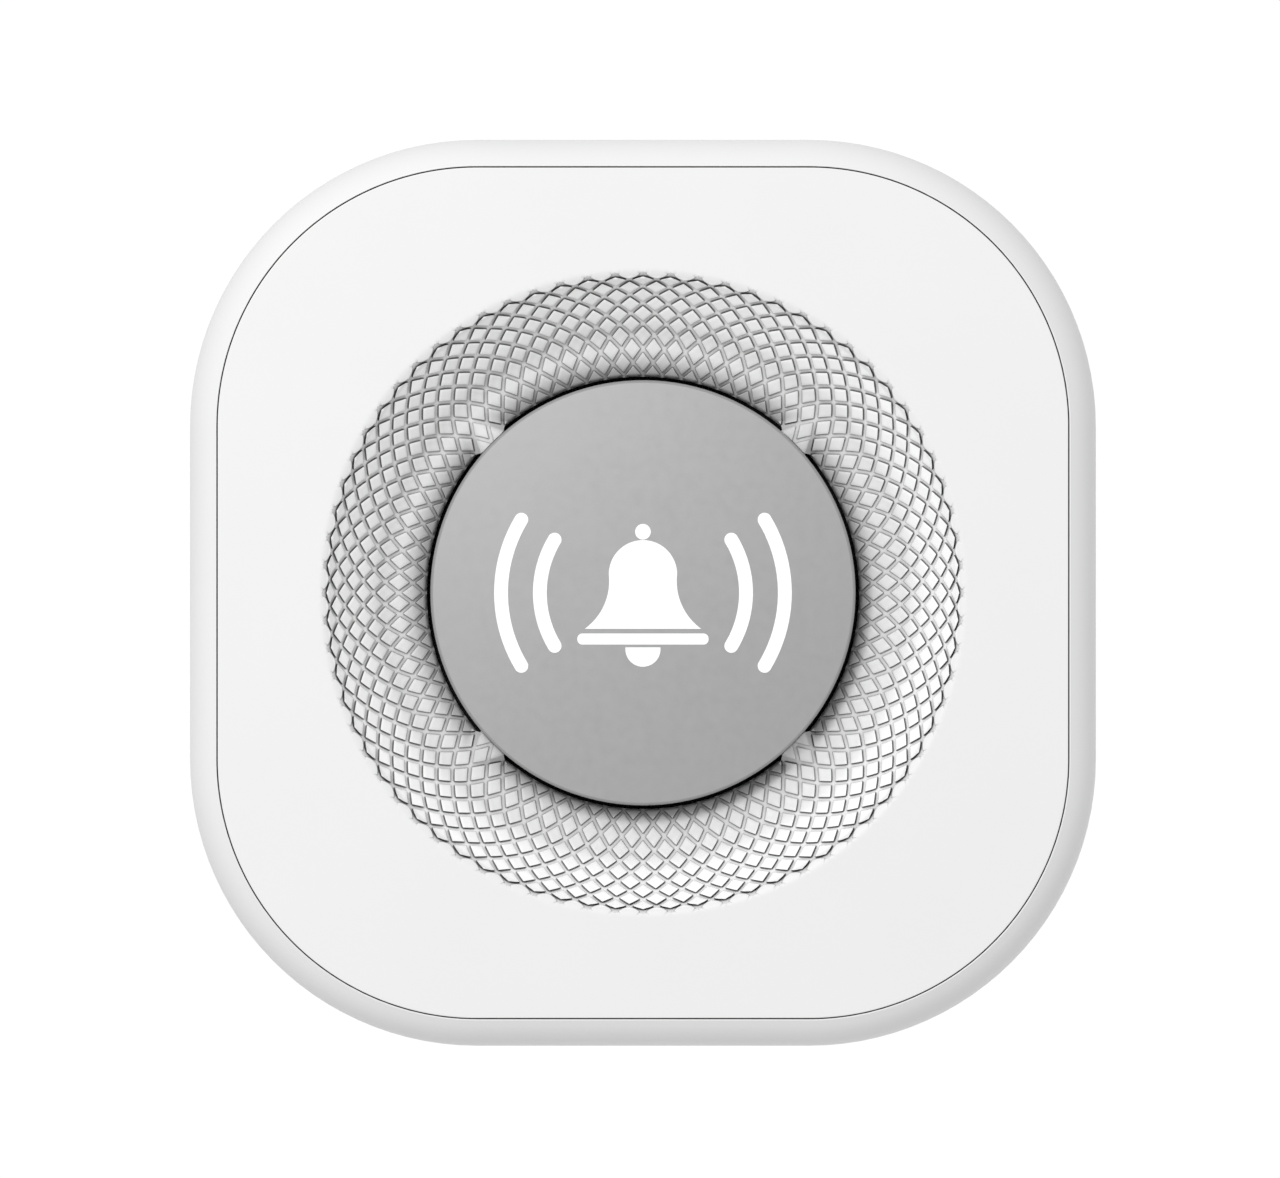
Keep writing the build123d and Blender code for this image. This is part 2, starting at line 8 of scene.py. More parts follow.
import bpy
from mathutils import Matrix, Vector


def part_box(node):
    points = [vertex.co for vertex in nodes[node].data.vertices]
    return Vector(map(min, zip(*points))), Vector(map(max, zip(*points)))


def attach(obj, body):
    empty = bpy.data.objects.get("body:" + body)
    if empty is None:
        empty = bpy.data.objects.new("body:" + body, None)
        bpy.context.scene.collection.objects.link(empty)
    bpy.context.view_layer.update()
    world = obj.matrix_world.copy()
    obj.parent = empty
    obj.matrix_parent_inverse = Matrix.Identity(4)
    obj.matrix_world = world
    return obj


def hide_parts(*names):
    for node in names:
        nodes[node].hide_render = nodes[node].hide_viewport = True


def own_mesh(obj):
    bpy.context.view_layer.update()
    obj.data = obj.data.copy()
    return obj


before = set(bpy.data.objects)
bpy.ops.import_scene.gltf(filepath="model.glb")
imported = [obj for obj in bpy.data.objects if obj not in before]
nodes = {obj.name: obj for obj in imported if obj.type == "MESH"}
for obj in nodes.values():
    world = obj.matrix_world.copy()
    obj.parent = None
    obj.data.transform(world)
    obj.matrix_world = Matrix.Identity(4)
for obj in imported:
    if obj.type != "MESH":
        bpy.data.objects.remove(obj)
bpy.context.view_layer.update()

MM = 0.001


# ---- places taken from the frame -------------------------------------------------------------
def half_width(node):
    low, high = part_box(node)
    return (high.x - low.x) / 2 / MM


def front_of(node):
    """Distance of a node's front from the wall, in mm."""
    return -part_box(node)[0].y / MM


FACE = front_of("front_cover")
COVER_HALF = half_width("front_cover")
DISC_R = half_width("centre_disc")

# ---- the front cover's own sizes, mm ---------------------------------------------------------
COVER_CORNER = 27.94       # corner radius, seen from the front
EDGE_ROUND = 0.10          # rounding of the cover's edge at the seam
EDGE_MARGIN = 0.08         # the flat face ends this far inside the rounding
PLATE_BACK = -2.0          # heights against the face plane
SKIRT_BACK = -7.0
SKIRT_STEP = 0.2           # the skirt stands this far inside the cover's edge
SKIRT_WALL = 1.6
COLLAR_WIDTH = 3.0         # thick band of the plate round the bowl
BOWL_R = 34.55
BOWL_WALL = 1.8
BOWL_BACK_START = 1.75     # the bowl's back leaves the collar this far along the wall's arc
BOWL_BACK_STEPS = 8
THROAT_R = 23.4
THROAT_WALL = 1.6
THROAT_BACK = 28.4 - FACE
LIP_R = 0.5
WALL_ARC_R = 20.0
FLOOR_ARC_R = 3.2
THROAT_ARC_R = 4.2
WALL_DEG = 64.0
FLOOR_DEG = 38.0


def sind(degrees):
    return math.sin(math.radians(degrees))


def cosd(degrees):
    return math.cos(math.radians(degrees))


FLAT_R = (BOWL_R - LIP_R * sind(WALL_DEG) - WALL_ARC_R * (sind(WALL_DEG) - sind(FLOOR_DEG))
          - FLOOR_ARC_R * sind(FLOOR_DEG))
THROAT_DEG = math.degrees(math.asin((FLAT_R - THROAT_R) / THROAT_ARC_R))

# The bowl's section from the lip inwards: radius and slope at the start and end of each arc.
SECTION_ARCS = (
    (LIP_R, 0.0, WALL_DEG),
    (WALL_ARC_R, WALL_DEG, FLOOR_DEG),
    (FLOOR_ARC_R, FLOOR_DEG, 0.0),
    (THROAT_ARC_R, 0.0, THROAT_DEG),
)


def arc_length(arc_r, start, end):
    return arc_r * abs(math.radians(end - start))


SECTION_LENGTH = sum(arc_length(*arc) for arc in SECTION_ARCS)
LIP_LENGTH = arc_length(*SECTION_ARCS[0])
WALL_END = LIP_LENGTH + arc_length(*SECTION_ARCS[1])
FLOOR_END = WALL_END + arc_length(*SECTION_ARCS[2])

# ---- knurl: flat cells between two families of crossing spiral grooves ------------------------
GROOVES = 72               # in each family
ROWS = 10                  # rows of crossings from the lip to the slot
PITCH_DEG = 360.0 / GROOVES
ROW_LENGTH = SECTION_LENGTH / ROWS
LIP_OFFSET = 0.06          # the outermost crossings lie this many rows inside the lip
ROW_OFFSET = -0.24         # and the rows from the next crossing inwards are moved by this much
CELL_HEIGHT = 0.32         # the cells stand this far above the grooves' flat floors, mm
CELL_RISE_MAX = 0.48       # and no more than this along the mould's pull, where the bowl is steep
LIP_SINK = 0.22            # at the lip the grooves are cut this much deeper, mm
# A narrow slope leads from the face into the bowl: where it starts and its width in rows, its fall
# in mm.  The lip is further out towards the corners of the face by LIP_LOBE mm.
LIP_START = -0.12
LIP_SPAN = 0.5
LIP_FALL = 0.34
LIP_LOBE = 0.35
# Mesh lines between one groove's middle and the next, and how far each has risen to the cell.
STEP = (0.0, 0.10, 0.14, 0.16, 0.33, 0.5, 0.67, 0.84, 0.86, 0.90)
RISE = (0.0, 0.0, 0.94, 1.0, 1.0, 1.0, 1.0, 1.0, 0.94, 0.0)
STEPS = len(STEP)
COLUMNS = GROOVES * STEPS

BRIDGE_DEG = (45, 135, 225, 315)
BRIDGE_RISE = 0.75         # how far the bridges climb from the floor to the disc, mm
BRIDGE_ROWS = 2
BRIDGE_END_R = DISC_R + 0.06
BRIDGE_CELL_SHARE = 0.35   # on a bridge the grooves are filled up by this share


def section_point(along):
    """Radius, height against the face plane and slope of the bowl, at a length from the lip."""
    radius, height, slope = BOWL_R, 0.0, 0.0
    if along <= 0:
        return radius - along, height, slope
    for arc_r, start, end in SECTION_ARCS:
        length = arc_length(arc_r, start, end)
        slope = start + (end - start) * min(along / length, 1.0)
        radius -= arc_r * abs(sind(slope) - sind(start))
        height -= arc_r * abs(cosd(slope) - cosd(start))
        along -= length
        if along <= 0:
            break
    return radius, height, slope


FLOOR_HEIGHT = section_point(FLOOR_END)[1]
LATTICE_END_R = section_point((ROWS + ROW_OFFSET) * ROW_LENGTH)[0]


def share(low, high, value):
    """How far value has come from low to high, as a number from 0 to 1."""
    return min(max((value - low) / (high - low), 0.0), 1.0)


def smooth(low, high, value):
    part = share(low, high, value)
    return part * part * (3 - 2 * part)


def lattice(line):
    """Groove coordinate and rise of a mesh line."""
    whole, part = divmod(line, STEPS)
    return whole + STEP[part], RISE[part]


def bridge_share(a, b):
    """1 inside the wedge of a bridge, which two grooves bound, and 0 outside."""
    bridge = 0.0
    reach = (ROWS - BRIDGE_ROWS) / 2
    for degrees in BRIDGE_DEG:
        for turn in (-GROOVES, 0, GROOVES):
            centre = degrees / PITCH_DEG + turn
            inside = min(a - centre - reach, centre - reach - b)
            bridge = max(bridge, smooth(-0.3, 0.3, inside))
    return bridge


def lip_drop(rows_in, rise):
    """How far the narrow slope and the grooves' ends lie under the bowl's section at the lip."""
    groove_end = smooth(-0.04, 0.05, rows_in) * (1 - smooth(0.6, 2.0, rows_in))
    slope = share(LIP_START, LIP_START + LIP_SPAN, rows_in) * (1 - smooth(1.0, 2.5, rows_in))
    return LIP_SINK * (1 - rise) * groove_end + LIP_FALL * slope


def knurl_point(row, column):
    """One vertex of the knurled bowl: x, z and height against the face plane, in mm."""
    a, rise_a = lattice(column + row)
    b, rise_b = lattice(column)
    turn = (a + b) / 2 * PITCH_DEG
    crossing = a - b
    rows_in = crossing + LIP_OFFSET + (ROW_OFFSET - LIP_OFFSET) * smooth(0.0, 1.0, crossing)
    radius, height, slope = section_point(rows_in * ROW_LENGTH)
    rise = min(rise_a, rise_b)
    if rows_in > ROWS - BRIDGE_ROWS - 0.5:
        bridge = bridge_share(a, b)
        climb = max(0.0, (FLAT_R - radius) / (FLAT_R - LATTICE_END_R))
        level = FLOOR_HEIGHT + BRIDGE_RISE * climb ** 1.5
        height += (level - height) * bridge
        radius -= (LATTICE_END_R - BRIDGE_END_R) * bridge * climb ** 4
        slope *= 1 - bridge
        rise += (1 - rise) * bridge * BRIDGE_CELL_SHARE
    height = min(height + min(CELL_HEIGHT / cosd(slope), CELL_RISE_MAX) * rise, 0.0)
    height -= lip_drop(rows_in, rise)
    radius += LIP_LOBE * sind(2 * turn) ** 2 * (1 - smooth(0.0, 2.0, rows_in))
    return radius * cosd(turn), radius * sind(turn), height


def square_point(turn, half, corner):
    """Where a ray from the centre meets a rounded square."""
    ray = Vector((cosd(turn), sind(turn)))
    fold = Vector((abs(ray.x), abs(ray.y)))
    straight = half - corner
    reach = half / max(fold)
    if min(fold) * reach > straight:
        centre = Vector((straight, straight))
        along = fold.dot(centre)
        reach = along + math.sqrt(along * along - centre.length_squared + corner * corner)
    return ray * reach


def place(x, z, height):
    return (x * MM, -(FACE + height) * MM, z * MM)


class Skin:
    """A closed skin made of rings with one vertex for each mesh column.

    The heights of its rings are counted from the face plane.
    """

    def __init__(self):
        self.verts = []
        self.faces = []
        self.turns = []

    def ring(self, points):
        start = len(self.verts)
        self.verts.extend(points)
        return start

    def join(self, outer, inner, shift=0):
        """Quads between two rings, the inner one counted from shift."""
        for i in range(COLUMNS):
            j = (i + 1) % COLUMNS
            k = (i + shift) % COLUMNS
            m = (k + 1) % COLUMNS
            self.faces.append((outer + i, outer + j, inner + m, inner + k))

    def circle(self, radius, height):
        return self.ring([place(radius * cosd(t), radius * sind(t), height) for t in self.turns])

    def square(self, inset, height):
        """A ring that follows the cover's outline, this far inside it."""
        points = [square_point(t, COVER_HALF - inset, COVER_CORNER - inset) for t in self.turns]
        return self.ring([place(p.x, p.y, height) for p in points])

    def chain(self, rings):
        for outer, inner in zip(rings, rings[1:]):
            self.join(outer, inner)


def knurled_lattice(skin):
    """Adds the knurled rows and returns the start of the outer and the inner ring."""
    first, last = -STEPS, ROWS * STEPS
    for row in range(first, last + 1):
        skin.verts.extend(place(*knurl_point(row, column)) for column in range(COLUMNS))

    def at(row, column):
        return (row - first) * COLUMNS + column % COLUMNS

    for row in range(first, last + 1):
        for column in range(COLUMNS):
            face = [at(row, column), at(row, column + 1)]
            if row > first:
                face.insert(1, at(row - 1, column + 1))
            if row < last:
                face.append(at(row + 1, column))
            skin.faces.append(face)
    return at(first, 0), at(last, 0)


def front_cover_skin():
    """The front cover: knurled bowl, flat face, small edge round, skirt and even-walled back."""
    skin = Skin()
    outer, inner = knurled_lattice(skin)
    lines = [lattice(column - STEPS)[0] + lattice(column)[0] for column in range(COLUMNS)]
    skin.turns = [line / 2 * PITCH_DEG for line in lines]
    rings = [skin.square(EDGE_ROUND + EDGE_MARGIN, 0.0)]
    for degrees in (0, 30, 60, 90):
        drop = EDGE_ROUND * (1 - cosd(degrees))
        rings.append(skin.square(EDGE_ROUND * (1 - sind(degrees)), -drop))
    rings.append(skin.square(0.0, PLATE_BACK))
    rings.append(skin.square(SKIRT_STEP, PLATE_BACK))
    rings.append(skin.square(SKIRT_STEP, SKIRT_BACK))
    rings.append(skin.square(SKIRT_STEP + SKIRT_WALL, SKIRT_BACK))
    rings.append(skin.square(SKIRT_STEP + SKIRT_WALL, PLATE_BACK))
    rings.append(skin.circle(BOWL_R + COLLAR_WIDTH, PLATE_BACK))
    start = LIP_LENGTH + BOWL_BACK_START
    for i in range(BOWL_BACK_STEPS + 1):
        along = start + (FLOOR_END - start) * i / BOWL_BACK_STEPS
        radius, height, slope = section_point(along)
        back_r = radius + BOWL_WALL * sind(slope)
        rings.append(skin.circle(back_r, height - BOWL_WALL * cosd(slope)))
    rings.append(skin.circle(THROAT_R + THROAT_WALL, FLOOR_HEIGHT - BOWL_WALL))
    rings.append(skin.circle(THROAT_R + THROAT_WALL, THROAT_BACK))
    rings.append(skin.circle(THROAT_R, THROAT_BACK))
    rings.append(skin.circle(THROAT_R, section_point(SECTION_LENGTH)[1]))
    skin.join(rings[0], outer)
    rings.reverse()
    skin.join(inner, rings[0], shift=(ROWS + 1) * STEPS // 2)
    skin.chain(rings)
    return skin


# ---- objects ---------------------------------------------------------------------------------
def make_object(name, verts, faces, body, smooth_angle=35.0):
    mesh = bpy.data.meshes.new(name)
    mesh.from_pydata(verts, [], faces)
    mesh.validate()
    mesh.update()
    mesh.shade_smooth()
    mesh.set_sharp_from_angle(angle=math.radians(smooth_angle))
    piece = bpy.data.objects.new(name, mesh)
    bpy.context.scene.collection.objects.link(piece)
    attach(piece, body)
    return piece


BOX_FACES = ((0, 1, 3, 2), (4, 6, 7, 5), (0, 4, 5, 1), (2, 3, 7, 6), (0, 2, 6, 4), (1, 5, 7, 3))


class Solids:
    """Boxes, tubes and coils in one mesh, placed by x, z and height above the wall, in mm."""

    def __init__(self):
        self.verts = []
        self.faces = []

    def point(self, x, z, height):
        self.verts.append((x * MM, -height * MM, z * MM))

    def box(self, centre, half, turn=0.0):
        """A box turned by some degrees about its axis out from the wall."""
        start = len(self.verts)
        for x in (-half[0], half[0]):
            for z in (-half[1], half[1]):
                for rise in (-half[2], half[2]):
                    self.point(centre[0] + x * cosd(turn) - z * sind(turn),
                               centre[1] + x * sind(turn) + z * cosd(turn),
                               centre[2] + rise)
        for corners in BOX_FACES:
            self.faces.append([start + corner for corner in corners])

    def tube(self, x, z, inner, outer, low, high, steps=64):
        start = len(self.verts)
        section = ((inner, low), (outer, low), (outer, high), (inner, high))
        for i in range(steps):
            turn = 360 * i / steps
            for radius, height in section:
                self.point(x + radius * cosd(turn), z + radius * sind(turn), height)
        self.skin(start, steps, 4, closed=True)

    def sweep(self, path, wire_r, sides=8):
        """A round wire along a list of points, capped at both ends."""
        start = len(self.verts)
        across = (path[1] - path[0]).orthogonal()
        for i, centre in enumerate(path):
            along = (path[min(i + 1, len(path) - 1)] - path[max(i - 1, 0)]).normalized()
            across = (across - along * across.dot(along)).normalized()
            other = along.cross(across)
            for side in range(sides):
                turn = 360 * side / sides
                offset = (across * cosd(turn) + other * sind(turn)) * wire_r
                self.verts.append(tuple((centre + offset) * MM))
        self.skin(start, len(path), sides, closed=False)
        self.faces.append(list(range(start, start + sides)))
        last = start + (len(path) - 1) * sides
        self.faces.append(list(range(last, last + sides)))

    def skin(self, start, loops, sides, closed):
        """Quads between neighbouring loops of vertices."""
        for i in range(loops if closed else loops - 1):
            for side in range(sides):
                near = start + i * sides
                far = start + (i + 1) % loops * sides
                following = (side + 1) % sides
                self.faces.append((near + side, near + following, far + following, far + side))


def coil_path(base, direction, start_r, end_r, length, turns, steps_per_turn=24, dead_turns=0.8):
    """A coil that starts at base and grows along an axis, with a flat stretch at each end."""
    across = Vector((1, 0, 0))
    other = direction.cross(across)
    path = []
    count = int(turns * steps_per_turn)
    for i in range(count + 1):
        turn = i / steps_per_turn
        rise = share(dead_turns, turns - dead_turns, turn)
        radius = start_r + (end_r - start_r) * i / count
        spoke = across * cosd(360 * turn) + other * sind(360 * turn)
        path.append(base + spoke * radius + direction * length * rise)
    return path


# ---- materials -------------------------------------------------------------------------------
class Surface:
    """A node material with one Principled shader and helpers to add grain to it."""

    def __init__(self, name, colour, roughness, metallic=0.0, specular=0.5, coat=0.0):
        self.material = bpy.data.materials.new(name)
        self.material.use_nodes = True
        self.tree = self.material.node_tree
        self.shader = self.tree.nodes["Principled BSDF"]
        self.colour = (*colour, 1.0)
        self.shader.inputs["Base Color"].default_value = self.colour
        self.shader.inputs["Roughness"].default_value = roughness
        self.shader.inputs["Metallic"].default_value = metallic
        self.shader.inputs["Specular IOR Level"].default_value = specular
        self.shader.inputs["Coat Weight"].default_value = coat
        self.roughness = roughness
        self.tint = None
        self.place = self.add("ShaderNodeTexCoord").outputs["Object"]

    def add(self, kind, **values):
        node = self.tree.nodes.new(kind)
        for key, value in values.items():
            setattr(node, key, value)
        return node

    def link(self, output, socket):
        self.tree.links.new(output, socket)

    def noise(self, size_mm, detail=2.0, stretch=(1, 1, 1)):
        """A noise whose features are about size_mm wide."""
        mapping = self.add("ShaderNodeMapping")
        mapping.inputs["Scale"].default_value = stretch
        self.link(self.place, mapping.inputs["Vector"])
        noise = self.add("ShaderNodeTexNoise")
        noise.inputs["Scale"].default_value = 1 / (size_mm * MM)
        noise.inputs["Detail"].default_value = detail
        self.link(mapping.outputs["Vector"], noise.inputs["Vector"])
        return noise.outputs["Fac"]

    def axis(self, name):
        """One coordinate, in metres."""
        split = self.add("ShaderNodeSeparateXYZ")
        self.link(self.place, split.inputs[0])
        return split.outputs[name]

    def maths(self, operation, first, second=0.0):
        node = self.add("ShaderNodeMath", operation=operation)
        for socket, value in zip(node.inputs, (first, second)):
            if isinstance(value, float):
                socket.default_value = value
            else:
                self.link(value, socket)
        return node.outputs[0]

    def facing(self, axis):
        """One part of the surface's own normal."""
        split = self.add("ShaderNodeSeparateXYZ")
        self.link(self.add("ShaderNodeTexCoord").outputs["Normal"], split.inputs[0])
        return split.outputs[axis]

    def brick_lines(self, axes, width_mm, row_mm, line_mm):
        """1 on the joints of a brick bond laid over two axes."""
        plane = self.add("ShaderNodeCombineXYZ")
        self.link(self.axis(axes[0]), plane.inputs["X"])
        self.link(self.axis(axes[1]), plane.inputs["Y"])
        brick = self.add("ShaderNodeTexBrick")
        self.link(plane.outputs["Vector"], brick.inputs["Vector"])
        brick.inputs["Scale"].default_value = 1 / MM
        brick.inputs["Brick Width"].default_value = width_mm
        brick.inputs["Row Height"].default_value = row_mm
        brick.inputs["Mortar Size"].default_value = line_mm / 2
        return brick.outputs["Fac"]

    def between(self, axis, low_mm, high_mm):
        """1 from low_mm to high_mm along one axis."""
        return self.maths("SUBTRACT", self.beyond(axis, low_mm), self.beyond(axis, high_mm))

    def ripple(self, axis, pitch_mm):
        """A sine along one axis."""
        angle = self.maths("MULTIPLY", self.axis(axis), 2 * math.pi / (pitch_mm * MM))
        return self.maths("SINE", angle)

    def beyond(self, axis, level_mm):
        """1 farther along one axis than level_mm."""
        return self.maths("GREATER_THAN", self.axis(axis), level_mm * MM)

    def in_front_of(self, height_mm):
        """1 farther from the wall than height_mm, in the rest pose."""
        return self.maths("LESS_THAN", self.axis("Y"), -height_mm * MM)

    def distance(self, x_mm, z_mm):
        """Distance from an axis that runs straight out from the wall."""
        squares = []
        for axis, middle in (("X", x_mm), ("Z", z_mm)):
            offset = self.maths("SUBTRACT", self.axis(axis), middle * MM)
            squares.append(self.maths("MULTIPLY", offset, offset))
        return self.maths("SQRT", self.maths("ADD", *squares))

    def outside_square(self, x_mm, z_mm, half_mm):
        """1 outside a square whose middle is at x_mm, z_mm."""
        offsets = []
        for axis, middle in (("X", x_mm), ("Z", z_mm)):
            offset = self.maths("SUBTRACT", self.axis(axis), middle * MM)
            offsets.append(self.maths("ABSOLUTE", offset))
        return self.maths("GREATER_THAN", self.maths("MAXIMUM", *offsets), half_mm * MM)

    def refinish(self, mask, colour, roughness, metallic=0.0):
        """Another colour and finish where mask is 1."""
        mix = self.add("ShaderNodeMix", data_type="RGBA")
        self.link(mask, mix.inputs["Factor"])
        self.link(self.tint, mix.inputs["A"])
        mix.inputs["B"].default_value = (*colour, 1.0)
        self.set_tint(mix.outputs["Result"])
        self.blend_value("Roughness", mask, roughness)
        self.blend_value("Metallic", mask, metallic)

    def blend_value(self, name, mask, other):
        """Another value of one shader socket where mask is 1."""
        socket = self.shader.inputs[name]
        mix = self.add("ShaderNodeMix", data_type="FLOAT")
        self.link(mask, mix.inputs["Factor"])
        mix.inputs["A"].default_value = socket.default_value
        mix.inputs["B"].default_value = other
        if socket.is_linked:
            self.link(socket.links[0].from_socket, mix.inputs["A"])
        self.link(mix.outputs["Result"], socket)

    def ranged(self, value, low, high):
        """Spreads the middle half of a noise's range, where nearly all its values lie."""
        return self.spread(value, 0.25, 0.75, low, high)

    def vary_colour(self, value, amount):
        """Colour that runs from a little darker to a little lighter with value."""
        mix = self.add("ShaderNodeMix", data_type="RGBA")
        dark = [c * (1 - amount) for c in self.colour[:3]] + [1.0]
        light = [min(c * (1 + amount), 1.0) for c in self.colour[:3]] + [1.0]
        mix.inputs["A"].default_value = dark
        mix.inputs["B"].default_value = light
        self.link(value, mix.inputs["Factor"])
        self.set_tint(mix.outputs["Result"])

    def set_tint(self, output):
        self.tint = output
        self.link(output, self.shader.inputs["Base Color"])

    def shade_corners(self, reach_mm, darkest, shut=0.45, open_=0.85):
        """Painted shade: darkens the colour where walls nearer than reach_mm shut the light out."""
        ambient = self.add("ShaderNodeAmbientOcclusion", samples=6)
        ambient.inputs["Distance"].default_value = reach_mm * MM
        self.scale_tint(self.spread(ambient.outputs["AO"], shut, open_, darkest, 1.0))

    def painted_light_ring(self, inner_mm, outer_mm, low, high, fade_mm, edge_mm):
        """Painted light and shade: scales the colour by a factor that grows outwards from the
        middle and ends at an edge.
        """
        radius = self.distance(0.0, 0.0)
        factor = self.spread(radius, inner_mm * MM, outer_mm * MM, low, high)
        outside = self.spread(radius, fade_mm * MM, edge_mm * MM, 0.0, 1.0)
        rest = self.maths("MULTIPLY", self.maths("SUBTRACT", 1.0, factor), outside)
        self.scale_tint(self.maths("ADD", factor, rest))

    def spread(self, value, from_low, from_high, low, high):
        """Turns the range from from_low to from_high into the range from low to high."""
        node = self.add("ShaderNodeMapRange")
        node.inputs["From Min"].default_value = from_low
        node.inputs["From Max"].default_value = from_high
        node.inputs["To Min"].default_value = low
        node.inputs["To Max"].default_value = high
        self.link(value, node.inputs["Value"])
        return node.outputs["Result"]

    def scale_tint(self, factor):
        scale = self.add("ShaderNodeVectorMath", operation="SCALE")
        self.link(self.tint, scale.inputs[0])
        self.link(factor, scale.inputs["Scale"])
        self.set_tint(scale.outputs["Vector"])

    def vary_roughness(self, value, amount):
        self.link(self.ranged(value, self.roughness - amount, self.roughness + amount),
                  self.shader.inputs["Roughness"])

    def bump(self, value, height_mm, strength=1.0):
        bump = self.add("ShaderNodeBump")
        bump.inputs["Distance"].default_value = height_mm * MM
        bump.inputs["Strength"].default_value = strength
        self.link(value, bump.inputs["Height"])
        self.link(bump.outputs["Normal"], self.shader.inputs["Normal"])


MASK_GREEN = (0.016, 0.135, 0.055)
TRACK_GREEN = (0.045, 0.27, 0.11)
BOARD_EDGE = (0.42, 0.38, 0.20)
TINNED = (0.70, 0.70, 0.68)
BARE_STEEL = (0.62, 0.61, 0.58)
BOARD_BACK = -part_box("circuit_board")[1].y / MM
BOARD_FRONT = front_of("circuit_board")
CELL_NUB = 1.3             # height of a cell's positive nub


def moulded_surface(name, colour, roughness, grain_mm=0.12, grain_height_mm=0.002, metallic=0.0):
    """Moulded plastic with the fine grain of a spark-eroded tool."""
    surface = Surface(name, colour, roughness, metallic=metallic)
    surface.vary_colour(surface.noise(14.0, detail=3.0), 0.012)
    surface.vary_roughness(surface.noise(1.1, detail=3.0), 0.03)
    surface.bump(surface.noise(grain_mm, detail=3.0), grain_height_mm)
    return surface


def moulded_plastic(name, colour, roughness, **grain):
    return moulded_surface(name, colour, roughness, **grain).material


def paint(node, material):
    slots = nodes[node].data.materials
    slots.clear()
    slots.append(material)


def metal(name, colour, roughness, stretch=(1, 1, 1), grain_mm=0.2):
    """Plated, rolled or turned metal; stretch draws its fine marks out along one axis."""
    surface = Surface(name, colour, roughness, metallic=1.0)
    surface.vary_colour(surface.noise(3.0, detail=3.0), 0.06)
    surface.vary_roughness(surface.noise(grain_mm, detail=3.0, stretch=stretch), 0.08)
    surface.bump(surface.noise(grain_mm, detail=2.0, stretch=stretch), 0.003)
    return surface


def lacquered_disc(name, colour):
    """Satin silver-grey lacquer whose rounded edge is painted darker and duller, a painted shade
    that hides the highlight there.
    """
    surface = moulded_surface(name, colour, 0.40, metallic=0.85)
    # Painted shade: the rounded edge is darkened so that it catches no highlight.
    edge = surface.maths("GREATER_THAN", surface.facing("Y"), -0.98)
    surface.refinish(edge, (0.22, 0.22, 0.22), 0.6)
    return surface.material


def knurled_white(name, colour):
    """White plastic of the cover, with painted light that brightens the bowl's wall and painted
    shade in its corners and round the disc.
    """
    surface = moulded_surface(name, colour, 0.5)
    # Painted light up the bowl's wall, and a little painted shade at its foot by the disc.
    surface.painted_light_ring(inner_mm=25.5, outer_mm=31.0, low=0.96, high=1.31,
                      fade_mm=BOWL_R - 0.62, edge_mm=BOWL_R - 0.27)
    # Painted shade in the knurl's groove corners, and a broad painted shadow round the disc.
    surface.shade_corners(reach_mm=0.25, darkest=0.25)
    surface.shade_corners(reach_mm=6.5, darkest=0.64, shut=0.30, open_=1.0)
    return surface.material


def woven_cloth(name, colour, pitch_mm):
    """Fine open weave, its threads one pitch apart both ways."""
    surface = Surface(name, colour, 0.85, specular=0.3)
    across, up = surface.ripple("X", pitch_mm), surface.ripple("Z", pitch_mm)
    threads = surface.maths("MULTIPLY", across, up)
    surface.vary_colour(threads, 0.7)
    surface.bump(threads, 0.04)
    return surface.material


def solder_mask(name):
    """Green mask over copper tracks, bare glass-epoxy edges and small tinned through-holes."""
    surface = Surface(name, MASK_GREEN, 0.4, coat=0.25)
    surface.vary_colour(surface.noise(6.0, detail=3.0), 0.08)
    regions = surface.maths("GREATER_THAN", surface.noise(11.0, detail=0.0), 0.5)
    tracks = surface.brick_lines(("X", "Z"), width_mm=7.0, row_mm=1.1, line_mm=0.22)
    crossing = surface.brick_lines(("Z", "X"), width_mm=9.0, row_mm=1.4, line_mm=0.22)
    chosen = surface.add("ShaderNodeMix", data_type="FLOAT")
    surface.link(regions, chosen.inputs["Factor"])
    surface.link(tracks, chosen.inputs["A"])
    surface.link(crossing, chosen.inputs["B"])
    copper = chosen.outputs["Result"]
    surface.refinish(copper, TRACK_GREEN, 0.36)
    surface.bump(copper, 0.035)
    holes = surface.maths("MULTIPLY", surface.ripple("X", 10.4), surface.ripple("Z", 8.8))
    surface.refinish(surface.maths("GREATER_THAN", holes, 0.985), (0.72, 0.71, 0.66), 0.35, 1.0)
    edge = surface.maths("LESS_THAN", surface.maths("ABSOLUTE", surface.facing("Y")), 0.5)
    surface.refinish(edge, BOARD_EDGE, 0.7)
    return surface.material


def chip_epoxy(name, x, z, half):
    """Matt black package with tinned leads round it and a round mark at its first lead."""
    mark_inset = 0.9
    mark_r = 0.3
    surface = Surface(name, (0.02, 0.02, 0.021), 0.6)
    surface.vary_colour(surface.noise(1.5, detail=3.0), 0.15)
    surface.bump(surface.noise(0.08, detail=2.0), 0.004)
    from_mark = surface.distance(x - half + mark_inset, z + half - mark_inset)
    surface.refinish(surface.maths("LESS_THAN", from_mark, mark_r * MM), (0.07, 0.07, 0.07), 0.3)
    surface.refinish(surface.outside_square(x, z, half + 0.01), TINNED, 0.34, 1.0)
    return surface.material


